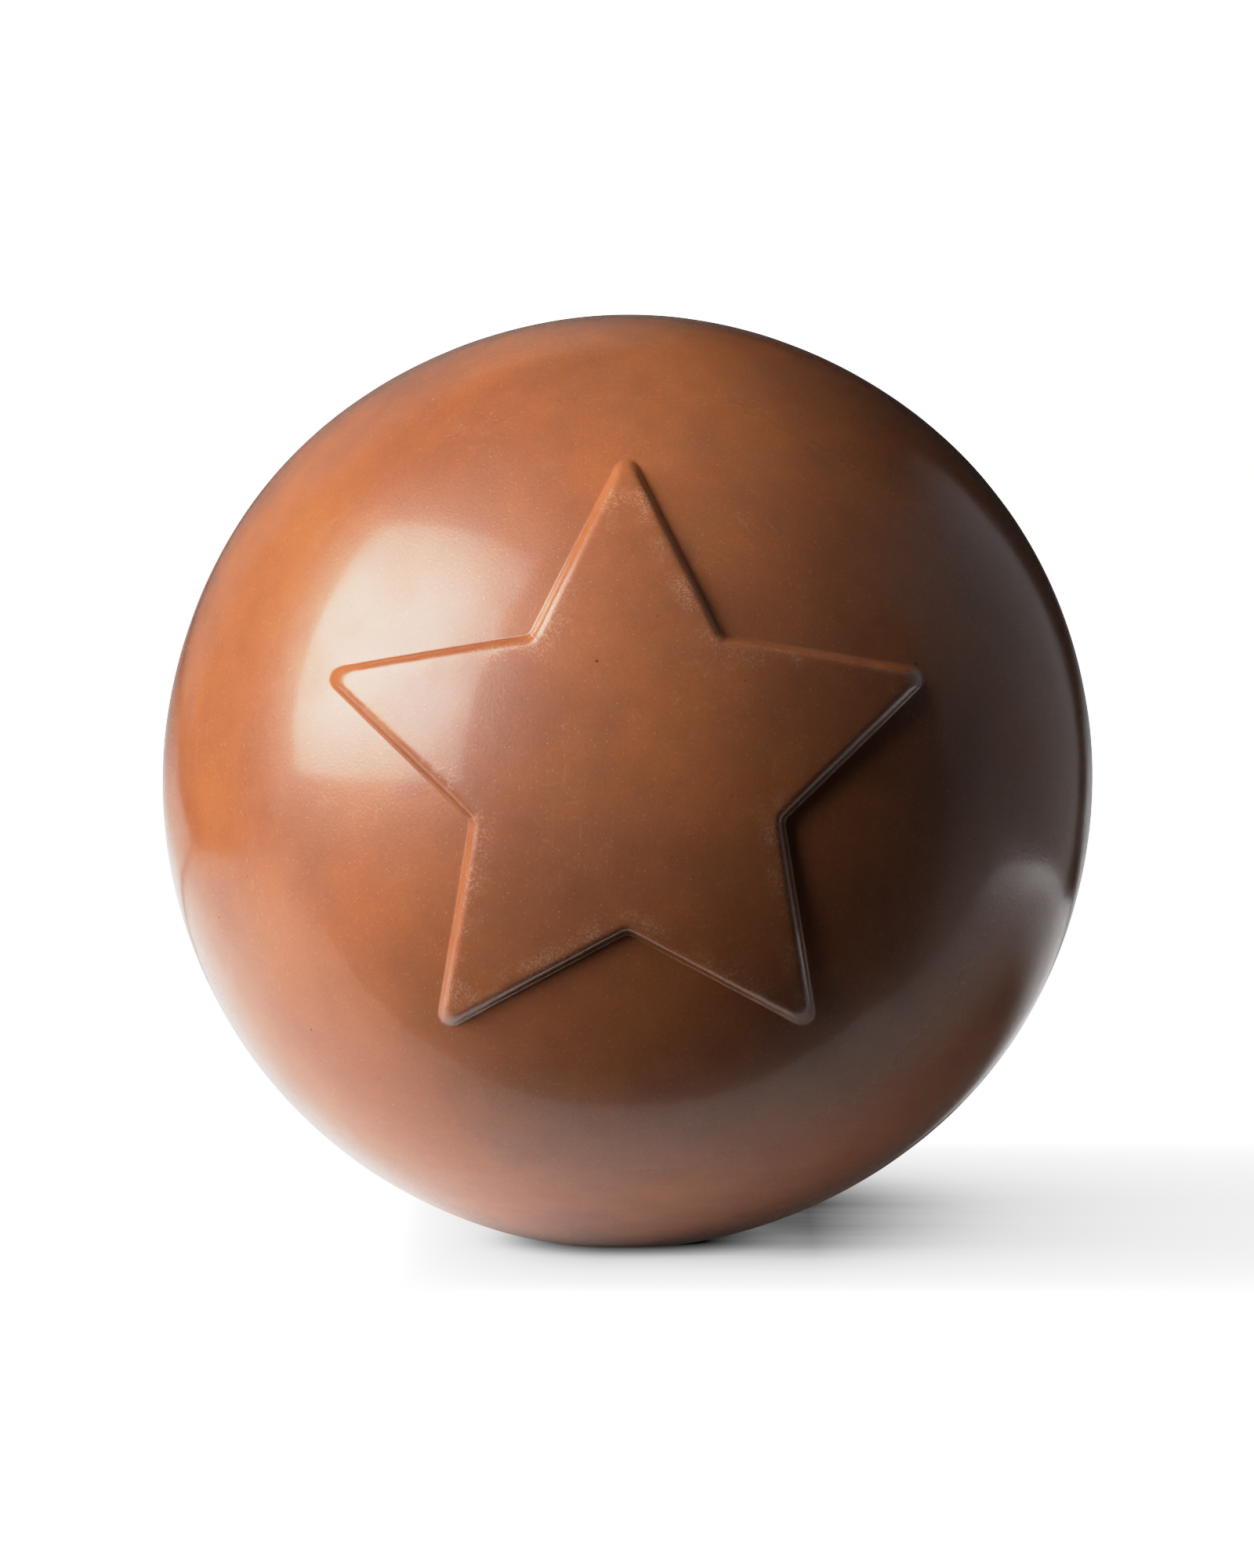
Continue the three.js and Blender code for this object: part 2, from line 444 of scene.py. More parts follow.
    def wobble(self, count: int) -> Array:
        """Small unevenness of the relief's upper edge: noise smoothed over few and many columns.

        Args:
            count: how many columns go round the star.

        Returns:
            One offset for each column.
        """
        rng = np.random.default_rng(self.seed + 1)
        total = np.zeros(count)
        for reach, share in self.wobble_shares:
            noise = rng.normal(size=count)
            kernel = np.hanning(2 * reach + 3)[1:-1]
            kernel /= np.sqrt((kernel**2).sum())
            wrapped = np.concatenate([noise[-reach:], noise, noise[:reach]])
            total += share * np.convolve(wrapped, kernel, mode="valid")
        return self.edge_wobble * total

    def bands(self, columns: Columns) -> list[Band]:
        """All the bands of rings, from the pole at the back to the one in the star's middle.

        Args:
            columns: where the grid's columns run.

        Returns:
            The bands in order.
        """
        seam_reach = 2 * self.seam_half_width / self.radius
        behind = math.pi / 2 + seam_reach
        before = math.pi / 2 - seam_reach
        apron_polar = math.asin(self.apron_radius / self.radius)
        return [
            self.circles(steps(math.pi, behind, Zone.BACK), columns),
            self.circles(steps(behind, before, Zone.SEAM), columns),
            self.circles(steps(before, apron_polar, Zone.SHOULDER), columns),
            self.apron(steps(0, 1, Zone.APRON), columns),
            self.wall_rings(eased_steps(0, 1, Zone.WALL, self.wall_ease), columns),
            self.flat_rings(eased_steps(1, 0, Zone.FLAT, self.flat_ease), columns),
            self.flat_rings(np.zeros((1, 1)), columns),
        ]

    def surface(self, band: Band) -> Array:
        """Puts a band on the ball and stands the ball on its flat spot.

        A point is its unit direction times the radius with its unevenness, lifted along the
        star's axis, turned back by the tilt and raised to the centre's height. What would lie
        below the rest plane is pressed flat on it.

        Args:
            band: polar angles, azimuths and lifts.

        Returns:
            Positions, with x, y and z along the last axis.
        """
        direction = np.stack(
            [
                np.sin(band.polar) * np.sin(band.azimuth),
                -np.cos(band.polar),
                np.sin(band.polar) * np.cos(band.azimuth),
            ],
            axis=-1,
        )
        radius = (
            self.radius
            + self.waves(direction)
            + self.ripples(direction)
            + self.seam_ridge(band.polar, band.azimuth)
        )
        points = direction * radius[..., None]
        points[..., 1] -= band.lift
        turn = np.array(Matrix.Rotation(-self.face_tilt, 3, "X"))
        points = points @ turn.T
        points[..., 2] += self.centre_height
        points[..., 2] = np.maximum(points[..., 2], 0)
        return points

    def build(self, name: str) -> bpy.types.Object:
        """Makes the ball's mesh: closed and smooth.

        Two attributes give each point's distance from the relief's upper edge and from the joint
        of the half shells, in millimetres.

        Args:
            name: name of the piece.

        Returns:
            The new object, at the origin.
        """
        columns = Columns.fit(self.outline)
        bands = self.bands(columns)
        points = np.concatenate([self.surface(band) for band in bands])
        edge = np.concatenate([band.edge_distance for band in bands])
        polar = np.concatenate([band.polar for band in bands])
        vertices, faces = closed_grid(points)
        piece = mesh_object(name, vertices, faces)
        attach(piece, EDGE_ATTRIBUTE, edge / MM)
        attach(piece, SEAM_ATTRIBUTE, self.radius * (math.pi / 2 - polar) / MM)
        return piece


def attach(piece: bpy.types.Object, name: str, grid: Array) -> None:
    """Gives a closed grid's mesh an attribute.

    Args:
        piece: the mesh's object.
        name: name of the attribute.
        grid: values, rows by columns.
    """
    values = np.concatenate([grid[0, :1], grid[1:-1].ravel(), grid[-1, :1]])
    layer = piece.data.attributes.new(name, "FLOAT", "POINT")
    layer.data.foreach_set("value", values.astype(np.float32))


def steps(start: float, stop: float, zone: Zone) -> Array:
    """Even steps from start, without stop, as a column with a row for each ring of the zone."""
    return np.linspace(start, stop, zone.value, endpoint=False)[:, None]


def eased_steps(start: float, stop: float, zone: Zone, ease: float) -> Array:
    """Steps from start, without stop, that start short and get longer, as a column."""
    share = np.linspace(0, 1, zone.value, endpoint=False)[:, None]
    return start + (stop - start) * share**ease


def closed_grid(points: Array) -> tuple[Array, list[Array]]:
    """Vertices and faces of a grid that closes round its columns and at both poles.

    The first and the last row are a single point each. A face runs from a ring to the next one
    inwards, then on to the next column, so that it points outwards.

    Args:
        points: positions, rows by columns by 3.

    Returns:
        The vertices and a list of the triangles at both poles and the quads between.
    """
    rows, count = points.shape[:2]
    vertices = np.concatenate([points[0, :1], points[1:-1].reshape(-1, 3), points[-1, :1]])
    column = np.arange(count)
    beside = (column + 1) % count
    ring = 1 + np.arange(rows - 3)[:, None] * count
    quads = np.stack(
        [ring + column, ring + count + column, ring + count + beside, ring + beside], axis=-1
    ).reshape(-1, 4)
    last = 1 + (rows - 3) * count
    first_fan = np.stack([np.zeros_like(column), 1 + column, 1 + beside], axis=-1)
    tip = np.full_like(column, len(vertices) - 1)
    last_fan = np.stack([last + column, tip, last + beside], axis=-1)
    return vertices, [first_fan, quads, last_fan]


def mesh_object(name: str, vertices: Array, faces: list[Array]) -> bpy.types.Object:
    """Makes a smooth mesh object at the origin.

    Args:
        name: name of the object and its mesh.
        vertices: positions, one row each.
        faces: arrays of vertex numbers, one array for each number of corners.

    Returns:
        The object, linked to the scene.
    """
    mesh = bpy.data.meshes.new(name)
    corners = np.concatenate([face.ravel() for face in faces])
    sizes = np.concatenate([np.full(len(face), face.shape[1]) for face in faces])
    mesh.vertices.add(len(vertices))
    mesh.vertices.foreach_set("co", vertices.astype(np.float32).ravel())
    mesh.loops.add(len(corners))
    mesh.loops.foreach_set("vertex_index", corners.astype(np.int32))
    mesh.polygons.add(len(sizes))
    mesh.polygons.foreach_set("loop_start", (np.cumsum(sizes) - sizes).astype(np.int32))
    mesh.polygons.foreach_set("use_smooth", np.ones(len(sizes), dtype=bool))
    mesh.update(calc_edges=True)
    mesh.validate()
    piece = bpy.data.objects.new(name, mesh)
    bpy.context.scene.collection.objects.link(piece)
    return piece


# ---- Finishes ----------------------------------------------------------------------------------


class Sketch:
    """A node tree that is drawn node by node, each call giving back the socket it makes."""

    def __init__(self, tree: bpy.types.NodeTree) -> None:
        """Starts on a tree, whose nodes are cleared."""
        self.tree = tree
        tree.nodes.clear()

    def node(
        self, kind: str, inputs: dict[str | int, object], **settings: object
    ) -> bpy.types.Node:
        """Adds a node.

        Args:
            kind: the node's type name.
            inputs: by name or number, a socket to link or a value to set.
            settings: the node's own properties.

        Returns:
            The node.
        """
        node = self.tree.nodes.new(kind)
        for key, value in settings.items():
            setattr(node, key, value)
        for key, value in inputs.items():
            if isinstance(value, Socket):
                self.tree.links.new(value, node.inputs[key])
            else:
                node.inputs[key].default_value = value
        return node

    def math(self, operation: str, *values: Socket | float, clamp: bool = False) -> Socket:
        """Adds a Math node on one to three values and gives its result."""
        settings = {"operation": operation, "use_clamp": clamp}
        return self.node("ShaderNodeMath", dict(enumerate(values)), **settings).outputs[0]

    def product(self, first: Socket, *others: Socket | float) -> Socket:
        """Multiplies a value by all the others.

        Args:
            first: the value.
            others: what it is multiplied by.

        Returns:
            The product.
        """
        for other in others:
            first = self.math("MULTIPLY", first, other)
        return first

    def falloff(self, distance: Socket, reach: Socket) -> Socket:
        """Falls straight from 1 at no distance to 0 at the reach and past it."""
        return self.math("SUBTRACT", 1.0, self.math("DIVIDE", distance, reach), clamp=True)

    def vector(self, operation: str, *values: object) -> Socket:
        """Adds a Vector Math node on vectors and gives its vector."""
        inputs = dict(enumerate(values))
        return self.node("ShaderNodeVectorMath", inputs, operation=operation).outputs["Vector"]

    def measure(self, operation: str, *values: object) -> Socket:
        """Adds a Vector Math node on vectors and gives its number, such as a length."""
        inputs = dict(enumerate(values))
        return self.node("ShaderNodeVectorMath", inputs, operation=operation).outputs["Value"]

    def ramp(
        self,
        value: Socket,
        low: Socket | float,
        high: Socket | float,
        start: float = 0.0,
        stop: float = 1.0,
    ) -> Socket:
        """Maps a value smoothly.

        Args:
            value: the value.
            low: up to here the result is start.
            high: from here on the result is stop.
            start: the result at the low end.
            stop: the result at the high end.

        Returns:
            The result, which runs between them as a smooth step.
        """
        inputs = {
            "Value": value,
            "From Min": low,
            "From Max": high,
            "To Min": start,
            "To Max": stop,
        }
        return self.node("ShaderNodeMapRange", inputs, interpolation_type="SMOOTHSTEP").outputs[0]

    def noise(
        self, vector: Socket, scale: Socket | float, detail: float = 2, roughness: float = 0.5
    ) -> Socket:
        """Adds a 3D noise texture and gives its value, which stays near a half."""
        inputs = {"Vector": vector, "Scale": scale, "Detail": detail, "Roughness": roughness}
        return self.node("ShaderNodeTexNoise", inputs).outputs[0]

    def grey(self, value: Socket) -> Socket:
        """A grey of a value, as a colour."""
        return self.node("ShaderNodeCombineColor", {0: value, 1: value, 2: value}).outputs[0]

    def blend(self, share: Socket | float, one: object, other: object, mode: str = "MIX") -> Socket:
        """Mixes two colours.

        Args:
            share: 0 for the one and 1 for the other.
            one: the colour below.
            other: the colour above.
            mode: how the other is laid over the one.

        Returns:
            The mixed colour.
        """
        inputs = {0: share, 6: one, 7: other}
        settings = {"data_type": "RGBA", "blend_type": mode, "clamp_factor": True}
        return self.node("ShaderNodeMix", inputs, **settings).outputs[2]

    def mask(self, group: bpy.types.ShaderNodeTree, inputs: dict[str, object]) -> Socket:
        """Places a mask group and gives its mask."""
        return self.node("ShaderNodeGroup", inputs, node_tree=group).outputs["Mask"]


def mask_group(name: str, vectors: tuple[str, ...], numbers: tuple[str, ...]) -> Sketch:
    """Makes a shader node group that puts out a mask.

    Args:
        name: the group's name.
        vectors: names of its vector inputs.
        numbers: names of its number inputs.

    Returns:
        A sketch of the group's tree, without nodes.
    """
    group = bpy.data.node_groups.new(name, "ShaderNodeTree")
    for kind, sockets in (("NodeSocketVector", vectors), ("NodeSocketFloat", numbers)):
        for socket in sockets:
            group.interface.new_socket(socket, in_out="INPUT", socket_type=kind)
    group.interface.new_socket("Mask", in_out="OUTPUT", socket_type="NodeSocketFloat")
    return Sketch(group)


def speck_group() -> bpy.types.ShaderNodeTree:
    """Small round specks, strewn at random: the chance cells of a Voronoi pattern.

    A cell's point becomes a speck where its random value is under the chance. Points that lie a
    little under the surface show as smaller specks, so the sizes vary.
    """
    sketch = mask_group("strewn specks", ("Vector",), ("Cells per mm", "Size", "Chance"))
    given = sketch.node("NodeGroupInput", {}).outputs
    cells = sketch.node(
        "ShaderNodeTexVoronoi", {"Vector": given["Vector"], "Scale": given["Cells per mm"]}
    ).outputs
    chance = sketch.node("ShaderNodeSeparateColor", {0: cells["Color"]}).outputs[0]
    is_speck = sketch.math("LESS_THAN", chance, given["Chance"])
    inner = sketch.math("MULTIPLY", given["Size"], 0.5)
    round_spot = sketch.ramp(cells["Distance"], inner, given["Size"], 1.0, 0.0)
    sketch.node("NodeGroupOutput", {"Mask": sketch.product(is_speck, round_spot)})
    return sketch.tree


def scuff_group() -> bpy.types.ShaderNodeTree:
    """Short fine parallel scratches in a few patches.

    Noise that is stretched along one axis gives thin lines where it passes a narrow level, and a
    second noise keeps them to patches.
    """
    sketch = mask_group("fine scuffs", ("Vector", "Turn"), ("Lines per mm", "Patchiness"))
    given = sketch.node("NodeGroupInput", {}).outputs
    turned = sketch.node(
        "ShaderNodeVectorRotate",
        {"Vector": given["Vector"], "Rotation": given["Turn"]},
        rotation_type="EULER_XYZ",
    ).outputs[0]
    stretched = sketch.vector("MULTIPLY", turned, (0.06, 1.0, 1.0))
    level = sketch.noise(stretched, given["Lines per mm"], detail=1)
    lines = sketch.ramp(level, 0.62, 0.76)
    clouds = sketch.noise(given["Vector"], scale=0.16)
    past_level = sketch.math("SUBTRACT", clouds, given["Patchiness"])
    mask = sketch.product(lines, sketch.ramp(past_level, 0.0, 0.08))
    sketch.node("NodeGroupOutput", {"Mask": mask})
    return sketch.tree


def scratch_group() -> bpy.types.ShaderNodeTree:
    """One long thin scratch: a stretch of the line in which a plane cuts the ball.

    It shows where the distance from the plane is under its half width, and fades with the
    distance from its middle. It wanders off the plane a little, and has gaps.
    """
    sketch = mask_group("long scratch", ("Vector", "Plane", "Middle"), ("Reach", "Half width"))
    given = sketch.node("NodeGroupInput", {}).outputs
    wander = sketch.noise(given["Vector"], scale=0.5)
    wander = sketch.math("MULTIPLY_ADD", wander, 2 * SCRATCH_WANDER, -SCRATCH_WANDER)
    away = sketch.vector("SUBTRACT", given["Vector"], given["Middle"])
    off_plane = sketch.measure("DOT_PRODUCT", away, given["Plane"])
    off_line = sketch.math("ABSOLUTE", sketch.math("ADD", off_plane, wander))
    narrow = sketch.falloff(off_line, given["Half width"])
    ends = sketch.falloff(sketch.measure("LENGTH", away), given["Reach"])
    gaps = sketch.ramp(sketch.noise(given["Vector"], scale=2.0), 0.35, 0.6)
    sketch.node("NodeGroupOutput", {"Mask": sketch.product(narrow, ends, gaps)})
    return sketch.tree


class Turn(Enum):
    """Ways in which patches of scuffs run, as turns of their pattern about X, Y and Z."""

    DOWN_RIGHT = (0.3, 0.5, 0.4)
    UPRIGHT = (0.2, 1.45, 0.1)
    LEVEL = (0.5, 0.05, 0.2)
    DOWN_LEFT = (0.1, -0.7, 0.3)


class Tint(Enum):
    """Colours of the chocolate, its specks, its rubbed places and its frosted edges, where pale
    specks and frost also paint glints and sheen.
    """

    BROWN = (0.318, 0.109, 0.046)
    WARM_BROWN = (0.352, 0.117, 0.042)
    PALE = (0.62, 0.40, 0.27)
    RED_BROWN = (0.15, 0.042, 0.018)
    DARK = (0.03, 0.011, 0.006)
    # Pale frost colour, which also paints the sheen and sparkle on the relief's rounded upper edge:
    # painted sheen.
    FROST_AND_SHEEN = (0.55, 0.31, 0.20)

    @property
    def rgba(self) -> tuple[float, float, float, float]:
        """The colour with full opacity, as colour sockets take it."""
        return (*self.value, 1.0)


@dataclass(frozen=True)
class Patches:
    """Patches of a noise that shows above a level.

    It has its scale per millimetre, the levels between which it comes in, and how it is stretched.
    """

    scale: float
    levels: Span
    detail: float = 2
    roughness: float = 0.5
    stretch: Triple = (1.0, 1.0, 1.0)

    def mask(self, sketch: Sketch, place: Socket) -> Socket:
        """Draws the patches.

        Args:
            sketch: the material's tree.
            place: position in millimetres.

        Returns:
            A mask that is 1 inside the patches.
        """
        stretched = sketch.vector("MULTIPLY", place, self.stretch)
        noise = sketch.noise(stretched, self.scale, self.detail, self.roughness)
        return sketch.ramp(noise, *self.levels)


@dataclass(frozen=True)
class Speck:
    """One kind of speck.

    It has its cells per millimetre, its radius as a share of a cell, the share of the cells that
    hold one, how much it covers and its colour.
    """

    cells: float
    size: float
    chance: float
    cover: float
    tint: Tint


@dataclass(frozen=True)
class Scratch:
    """One long scratch, in millimetres from the ball's centre: its plane, middle and reach."""

    plane: Triple
    middle: Triple
    reach: float


@dataclass(frozen=True)
class Wear:
    """One kind of wear: where it is, how much it pales the colour and how much it dulls."""

    mask: Socket
    pale: float
    dull: float


@dataclass(frozen=True)
class MilkChocolate:
    """Polished milk chocolate: sandy brown under a soft gloss, specked, scuffed, frosted edges,
    with painted glints and a painted sheen on the edges.
    """

    ball_centre: Vector
    name: str = "milk chocolate"
    gloss: float = 0.40
    gloss_roughness: float = 0.10
    body_roughness: float = 0.38
    glancing_roughness: float = 0.12
    glancing_span: Span = (0.25, 0.65)
    dull_roughness: float = 0.12
    sheen_level: float = 0.60
    refraction: float = 1.45
    translucency: float = 0.6
    translucent_depth: float = 0.5 * MM
    translucent_spread: Triple = (1.0, 0.45, 0.2)
    grain_depth: float = 0.012 * MM
    grain_shade: float = 0.16
    cloud_shade: float = 0.22
    mottle_shade: float = 0.12
    warm_levels: Span = (0.38, 0.62)
    smudges: Patches = Patches(scale=0.2, levels=(0.42, 0.72), detail=4, roughness=0.65)
    smudge_dullness: float = 0.3
    worked_reach: Span = (1.0, 12.0)
    worked_patches: Patches = Patches(scale=0.14, levels=(0.48, 0.62))
    worked_streaks: Patches = Patches(
        scale=1.4, levels=(0.36, 0.70), detail=4, roughness=0.7, stretch=(1.0, 0.25, 1.0)
    )
    rubbed_heights: Span = (2.0, 15.0)
    rubbed_streaks: Patches = Patches(
        scale=0.8, levels=(0.32, 0.76), detail=5, roughness=0.6, stretch=(0.25, 0.25, 1.2)
    )
    # Where the pale frost and its painted sheen lie, across the relief's upper edge, and how they
    # are broken up.
    frost_and_sheen_outer: Span = (-0.95, -0.6)
    frost_and_sheen_inner: Span = (-0.3, 1.1)
    frost_and_sheen_patches: Patches = Patches(scale=0.3, levels=(0.42, 0.62), detail=4, roughness=0.7)
    frost_and_sheen_crumbs: Patches = Patches(scale=7.0, levels=(0.46, 0.62), detail=3, roughness=0.7)
    frost_and_sheen_cover: float = 0.65
    frost_and_sheen_dullness: float = 0.8
    specks: tuple[Speck, ...] = (
        Speck(cells=3.0, size=0.20, chance=0.45, cover=0.26, tint=Tint.PALE),
        Speck(cells=3.2, size=0.17, chance=0.45, cover=0.35, tint=Tint.RED_BROWN),
        # Small strong pale specks that also stand for tiny glints of the gloss: painted glints.
        Speck(cells=1.6, size=0.075, chance=0.35, cover=0.80, tint=Tint.PALE),
        Speck(cells=1.1, size=0.07, chance=0.10, cover=0.80, tint=Tint.DARK),
        Speck(cells=0.5, size=0.06, chance=0.08, cover=0.90, tint=Tint.DARK),
    )
    scuff_shift: Triple = (31.0, 17.0, 53.0)
    scuffs_per_mm: float = 3.6
    scuff_patchiness: float = 0.56
    scratches: tuple[Scratch, ...] = (
        Scratch(plane=(0.45, -0.30, 0.84), middle=(0.9, -22.0, 22.0), reach=8.0),
        Scratch(plane=(0.62, 0.30, 0.72), middle=(-7.5, -26.0, 12.0), reach=4.0),
        Scratch(plane=(-0.50, -0.20, 0.84), middle=(15.0, -23.0, -10.0), reach=5.0),
        Scratch(plane=(0.80, 0.10, 0.60), middle=(19.0, -20.0, -12.0), reach=6.0),
    )
    scratch_half_width: float = 0.07

    def dress(self, piece: bpy.types.Object) -> None:
        """Makes the material and puts it on a piece.

        Args:
            piece: the ball, with its attributes.
        """
        material = bpy.data.materials.new(self.name)
        material.use_nodes = True
        sketch = Sketch(material.node_tree)
        place = sketch.node("ShaderNodeTexCoord", {}).outputs["Object"]
        millimetres = sketch.vector("MULTIPLY", place, (1 / MM, 1 / MM, 1 / MM))
        edge = self.attribute(sketch, EDGE_ATTRIBUTE)
        before_seam = self.attribute(sketch, SEAM_ATTRIBUTE)
        grain = sketch.noise(millimetres, scale=5.5, detail=2, roughness=0.6)
        frost_and_sheen = self.frost_and_sheen(sketch, edge, millimetres)
        wear = (
            Wear(self.worked_band(sketch, before_seam, millimetres), pale=0.06, dull=0.3),
            Wear(self.rubbed_base(sketch, millimetres), pale=0.10, dull=0.3),
            Wear(self.scuffs(sketch, millimetres), pale=0.08, dull=0.3),
        )

        colour = self.clouds(sketch, millimetres)
        colour = self.shade(sketch, colour, grain, self.grain_shade)
        for each in wear:
            colour = sketch.blend(sketch.product(each.mask, each.pale), colour, Tint.PALE.rgba)
        colour = self.speckle(sketch, colour, millimetres)
        # Painted sheen: the pale frost colour on the relief's upper edge stands for crumbs and also
        # for the sheen and sparkle there.
        frost_and_sheen_share = sketch.product(frost_and_sheen, self.frost_and_sheen_cover)
        colour = sketch.blend(frost_and_sheen_share, colour, Tint.FROST_AND_SHEEN.rgba)

        dull = sketch.product(self.smudges.mask(sketch, millimetres), self.smudge_dullness)
        for each in wear:
            dull = sketch.math("MULTIPLY_ADD", each.mask, each.dull, dull)
        dull = sketch.math("MULTIPLY_ADD", frost_and_sheen, self.frost_and_sheen_dullness, dull)
        glossy = sketch.math("SUBTRACT", 1.0, dull, clamp=True)
        bump = sketch.node(
            "ShaderNodeBump", {"Height": grain, "Strength": 1.0, "Distance": self.grain_depth}
        ).outputs[0]
        shader = sketch.node(
            "ShaderNodeBsdfPrincipled",
            {
                "Base Color": colour,
                "Roughness": self.roughness(sketch, dull),
                "IOR": self.refraction,
                "Specular IOR Level": self.sheen_level,
                "Normal": bump,
                "Subsurface Weight": self.translucency,
                "Subsurface Radius": self.translucent_spread,
                "Subsurface Scale": self.translucent_depth,
                "Coat Weight": sketch.product(glossy, self.gloss),
                "Coat Roughness": self.gloss_roughness,
                "Coat IOR": self.refraction,
            },
        )
        sketch.node("ShaderNodeOutputMaterial", {"Surface": shader.outputs[0]})
        piece.data.materials.clear()
        piece.data.materials.append(material)

    @staticmethod
    def attribute(sketch: Sketch, name: str) -> Socket:
        """Reads one of the mesh's own attributes."""
        return sketch.node("ShaderNodeAttribute", {}, attribute_name=name).outputs["Fac"]

    def roughness(self, sketch: Sketch, dull: Socket) -> Socket:
        """How rough the body is: soft seen straight on, and sharper at a glancing angle.

        Args:
            sketch: the material's tree.
            dull: how dull the surface is, which makes it rougher.

        Returns:
            The roughness.
        """
        facing = sketch.node("ShaderNodeLayerWeight", {"Blend": 0.5}).outputs["Facing"]
        ends = (self.body_roughness, self.glancing_roughness)
        angle = sketch.ramp(facing, *self.glancing_span, *ends)
        return sketch.math("MULTIPLY_ADD", dull, self.dull_roughness, angle)

    def clouds(self, sketch: Sketch, place: Socket) -> Socket:
        """The chocolate's own colour, warmer and duller in broad clouds and in small mottles.

        Args:
            sketch: the material's tree.
            place: position in millimetres.

        Returns:
            The colour.
        """
        cloud = sketch.noise(place, scale=0.085, detail=3, roughness=0.55)
        mottle = sketch.noise(place, scale=0.45, detail=3, roughness=0.6)
        warmth = sketch.ramp(cloud, *self.warm_levels)
        colour = sketch.blend(warmth, Tint.BROWN.rgba, Tint.WARM_BROWN.rgba)
        colour = self.shade(sketch, colour, cloud, self.cloud_shade)
        return self.shade(sketch, colour, mottle, self.mottle_shade)

    @staticmethod
    def shade(sketch: Sketch, colour: Socket, noise: Socket, depth: float) -> Socket:
        """Lightens and darkens a colour by a noise that stays near a half."""
        factor = sketch.math("MULTIPLY_ADD", noise, 2 * depth, 1 - depth)
        return sketch.blend(1.0, colour, sketch.grey(factor), mode="MULTIPLY")

    def speckle(self, sketch: Sketch, colour: Socket, place: Socket) -> Socket:
        """Strews the chocolate's fine and coarse specks over a colour, one kind of which also
        paints glints.

        Args:
            sketch: the material's tree.
            colour: the colour below.
            place: position in millimetres.

        Returns:
            The specked colour.
        """
        group = speck_group()
        for speck in self.specks:
            inputs = {
                "Vector": place,
                "Cells per mm": speck.cells,
                "Size": speck.size,
                "Chance": speck.chance,
            }
            covered = sketch.product(sketch.mask(group, inputs), speck.cover)
            colour = sketch.blend(covered, colour, speck.tint.rgba)
        return colour

    def scuffs(self, sketch: Sketch, place: Socket) -> Socket:
        """All the scuffs and scratches together.

        Args:
            sketch: the material's tree.
            place: position in millimetres.

        Returns:
            A mask that is 1 on the lines.
        """
        masks = []
        group = scuff_group()
        for i, turn in enumerate(Turn):
            shift = tuple(i * step for step in self.scuff_shift)
            inputs = {
                "Vector": sketch.vector("ADD", place, shift),
                "Turn": turn.value,
                "Lines per mm": self.scuffs_per_mm,
                "Patchiness": self.scuff_patchiness,
            }
            masks.append(sketch.mask(group, inputs))
        group = scratch_group()
        centred = sketch.vector("SUBTRACT", place, tuple(self.ball_centre / MM))
        for scratch in self.scratches:
            inputs = {
                "Vector": centred,
                "Plane": scratch.plane,
                "Middle": scratch.middle,
                "Reach": scratch.reach,
                "Half width": self.scratch_half_width,
            }
            masks.append(sketch.mask(group, inputs))
        total = masks[0]
        for mask in masks[1:]:
            total = sketch.math("ADD", total, mask)
        return sketch.math("MINIMUM", total, 1.0)

    def frost_and_sheen(self, sketch: Sketch, edge: Socket, place: Socket) -> Socket:
        """Where the chocolate is rubbed pale and a sheen is painted: a broken line along the
        relief's upper edge.

        Args:
            sketch: the material's tree.
            edge: distance in from the relief's upper edge, in millimetres.
            place: position in millimetres.

        Returns:
            A mask that is 1 where the chocolate is fully frosted, with its painted sheen.
        """
        # The pale band is partly frosted crumbs and partly a painted sheen on the rounding.
        inner = sketch.ramp(edge, *self.frost_and_sheen_inner, 1.0, 0.0)
        outer = sketch.ramp(edge, *self.frost_and_sheen_outer)
        patches = self.frost_and_sheen_patches.mask(sketch, place)
        crumbs = self.frost_and_sheen_crumbs.mask(sketch, place)
        return sketch.product(inner, outer, patches, crumbs)

    def worked_band(self, sketch: Sketch, before_seam: Socket, place: Socket) -> Socket:
        """Where fingers and the joining plate left marks: broken streaks beside the joint.

        Args:
            sketch: the material's tree.
            before_seam: distance from the joint, in millimetres.
            place: position in millimetres.

        Returns:
            A mask that is 1 where the surface is fully dulled.
        """
        away = sketch.math("ABSOLUTE", before_seam)
        near = sketch.ramp(away, *self.worked_reach, 1.0, 0.0)
        patches = self.worked_patches.mask(sketch, place)
        streaks = self.worked_streaks.mask(sketch, place)
        return sketch.product(near, patches, streaks)

    def rubbed_base(self, sketch: Sketch, place: Socket) -> Socket:
        """Where the ball has rolled and stood: pale level streaks low on it.

        Args:
            sketch: the material's tree.
            place: position in millimetres.

        Returns:
            A mask that is 1 where the surface is fully rubbed.
        """
        height = sketch.node("ShaderNodeSeparateXYZ", {0: place}).outputs["Z"]
        low = sketch.ramp(height, *self.rubbed_heights, 1.0, 0.0)
        return sketch.product(low, self.rubbed_streaks.mask(sketch, place))


